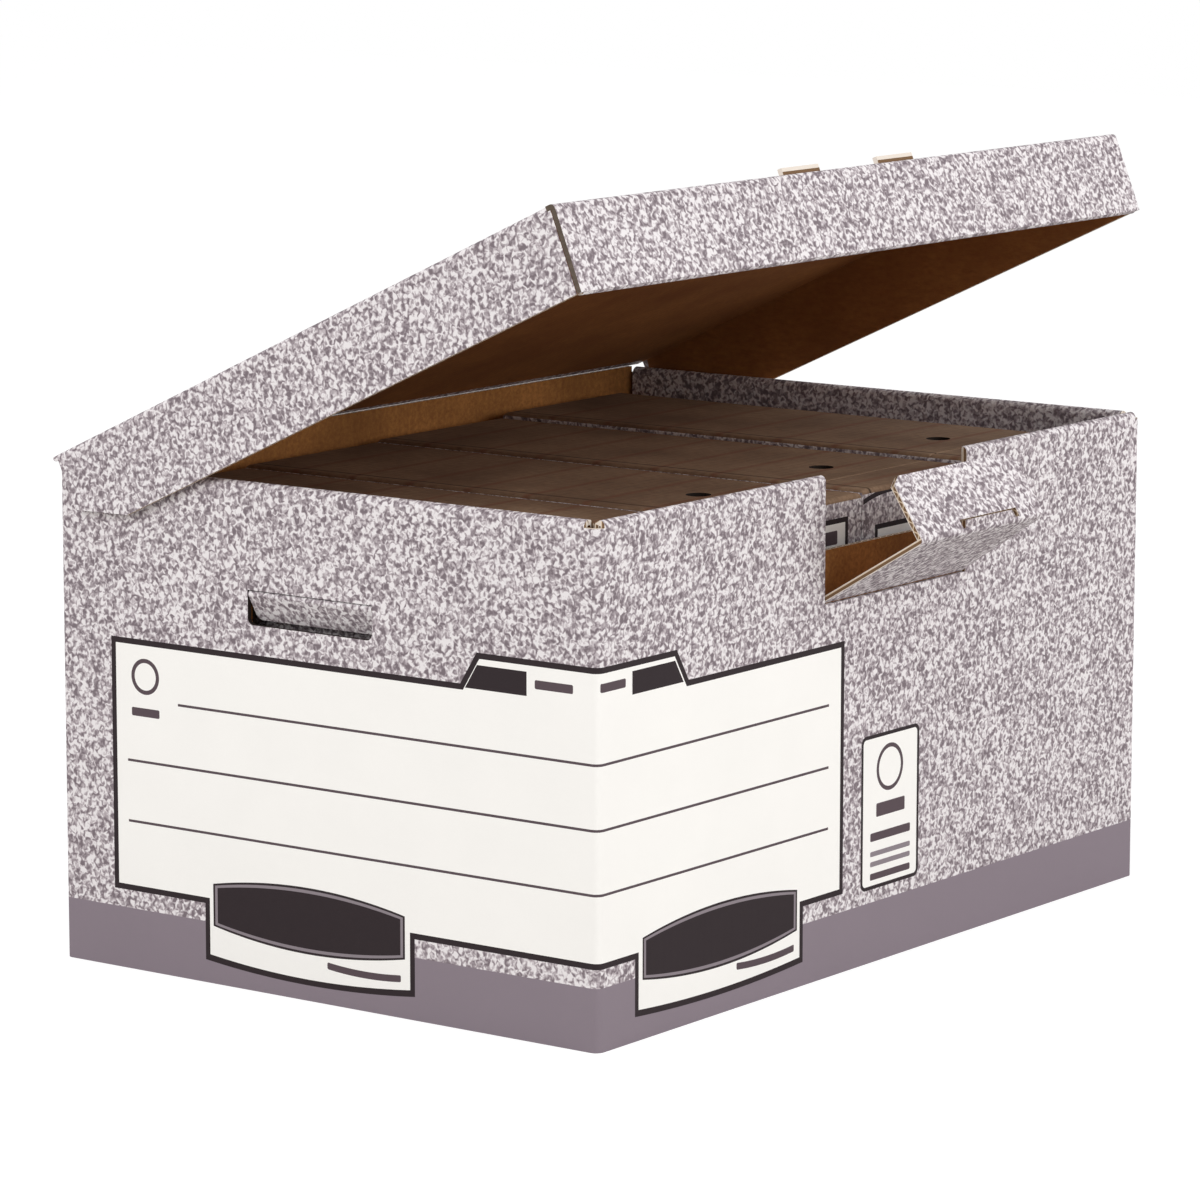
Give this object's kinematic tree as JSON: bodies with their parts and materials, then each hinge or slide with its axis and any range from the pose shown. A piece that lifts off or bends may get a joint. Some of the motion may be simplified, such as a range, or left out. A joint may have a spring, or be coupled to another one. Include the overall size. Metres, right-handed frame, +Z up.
{
  "type": "archive storage box",
  "caption": "Flip-top archive storage box of printed corrugated board: lid hinged at the back, fold-out access flap in the front wall, hand holes in the ends, closed transfer files inside.",
  "frame": {"origin": "the middle of the box's underside", "axes": "+Z up; X along the lid's hinge, with the labelled end wall at -X; the wall with the access flap faces -Y"},
  "size_m": [0.576, 0.4482, 0.4661],
  "materials": {
    "box_board": "printed speckle, raw kraft inside",
    "lid_board": "printed speckle, raw kraft inside",
    "flap_board": "printed speckle, raw kraft inside",
    "file_board": "raw kraft"
  },
  "bodies": {
    "box": {"box_body": "box_board", "file_1": "file_board", "file_2": "file_board", "file_3": "file_board", "file_4": "file_board"},
    "lid": {"lid": "lid_board"},
    "front_flap": {"front_flap": "flap_board"},
    "hand_flap_near": {"hand_flap_near": "flap_board"},
    "hand_flap_far": {"hand_flap_far": "flap_board"}
  },
  "joints": [
    {"name": "lid_hinge", "type": "hinge", "parent": "box", "child": "lid", "pos_m": [0, 0.1932, 0.2953], "axis": [-1, 0, 0], "range_deg": [-24.8, 195.2]},
    {"name": "front_flap_hinge", "type": "hinge", "parent": "box", "child": "front_flap", "pos_m": [0.009, -0.1932, 0.221], "axis": [1, 0, 0], "range_deg": [-57.5, 82.5]},
    {"name": "hand_flap_near_hinge", "type": "hinge", "parent": "box", "child": "hand_flap_near", "pos_m": [-0.2798, 0.007, 0.2295], "axis": [0, -1, 0], "range_deg": [-30, 60]},
    {"name": "hand_flap_far_hinge", "type": "hinge", "parent": "box", "child": "hand_flap_far", "pos_m": [0.2798, 0.007, 0.2295], "axis": [0, 1, 0], "range_deg": [-30, 60]}
  ]
}
